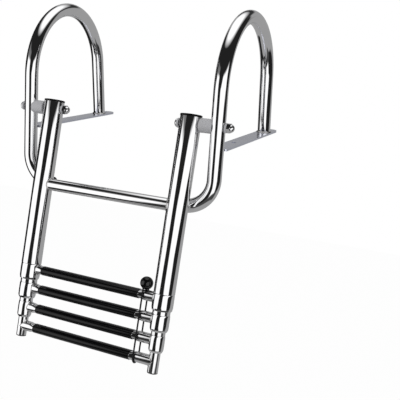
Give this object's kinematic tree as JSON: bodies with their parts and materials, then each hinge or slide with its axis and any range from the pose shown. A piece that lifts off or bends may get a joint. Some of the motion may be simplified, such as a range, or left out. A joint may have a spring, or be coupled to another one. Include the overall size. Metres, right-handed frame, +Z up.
{
  "type": "telescoping pontoon boat ladder",
  "caption": "Polished stainless folding boat ladder with hoop handrails, telescoping treads, rubber grips and a ball strap, shown closed up.",
  "frame": {"origin": "underside of the left deck plate, midway between its two mounting holes", "axes": "+X from the left handrail to the right one, +Y towards the boat along the deck plates, +Z up"},
  "size_m": [0.4359, 0.4181, 0.6267],
  "materials": {
    "polished_steel": "mirror polished",
    "black_rubber": "satin",
    "grey_nylon": "satin",
    "black_plastic": "satin",
    "black_cord": "woven"
  },
  "bodies": {
    "handrails": {"handrail_left": "polished_steel", "deck_plate_left": "polished_steel", "stop_plug_left": "black_plastic", "pivot_bolt_left": "polished_steel", "pivot_washers_left": "grey_nylon", "pivot_spacer_left": "grey_nylon", "pivot_nut_left": "polished_steel", "handrail_right": "polished_steel", "deck_plate_right": "polished_steel", "stop_plug_right": "black_plastic", "pivot_bolt_right": "polished_steel", "pivot_washers_right": "grey_nylon", "pivot_spacer_right": "grey_nylon", "pivot_nut_right": "polished_steel"},
    "upper_section": {"stile_left": "polished_steel", "stile_cap_left": "black_plastic", "collar_1_left": "polished_steel", "stile_right": "polished_steel", "stile_cap_right": "black_plastic", "collar_1_right": "polished_steel", "cross_rung": "polished_steel", "tread_1": "polished_steel", "grip_1": "black_rubber", "strap_cord": "black_cord", "strap_ball": "black_rubber"},
    "second_section": {"tube_2_left": "polished_steel", "collar_2_left": "polished_steel", "tube_2_right": "polished_steel", "collar_2_right": "polished_steel", "tread_2": "polished_steel", "grip_2": "black_rubber", "guides_2": "grey_nylon"},
    "third_section": {"tube_3_left": "polished_steel", "collar_3_left": "polished_steel", "tube_3_right": "polished_steel", "collar_3_right": "polished_steel", "tread_3": "polished_steel", "grip_3": "black_rubber", "guides_3": "grey_nylon"},
    "fourth_section": {"tube_4_left": "polished_steel", "foot_cap_left": "black_plastic", "tube_4_right": "polished_steel", "foot_cap_right": "black_plastic", "tread_4": "polished_steel", "grip_4": "black_rubber", "guides_4": "grey_nylon"}
  },
  "joints": [
    {"name": "fold", "type": "hinge", "parent": "handrails", "child": "upper_section", "pos_m": [0.1925, -0.187, 0.041], "axis": [-1, 0, 0], "range_deg": [0, 257]},
    {"name": "slide_2", "type": "slide", "parent": "upper_section", "child": "second_section", "axis": [0, -0.2211, -0.9752], "range_m": [0, 0.261], "deforming": ["strap_cord"]},
    {"name": "slide_3", "type": "slide", "parent": "second_section", "child": "third_section", "axis": [0, -0.2211, -0.9752], "range_m": [0, 0.261]},
    {"name": "slide_4", "type": "slide", "parent": "third_section", "child": "fourth_section", "axis": [0, -0.2211, -0.9752], "range_m": [0, 0.172]}
  ]
}
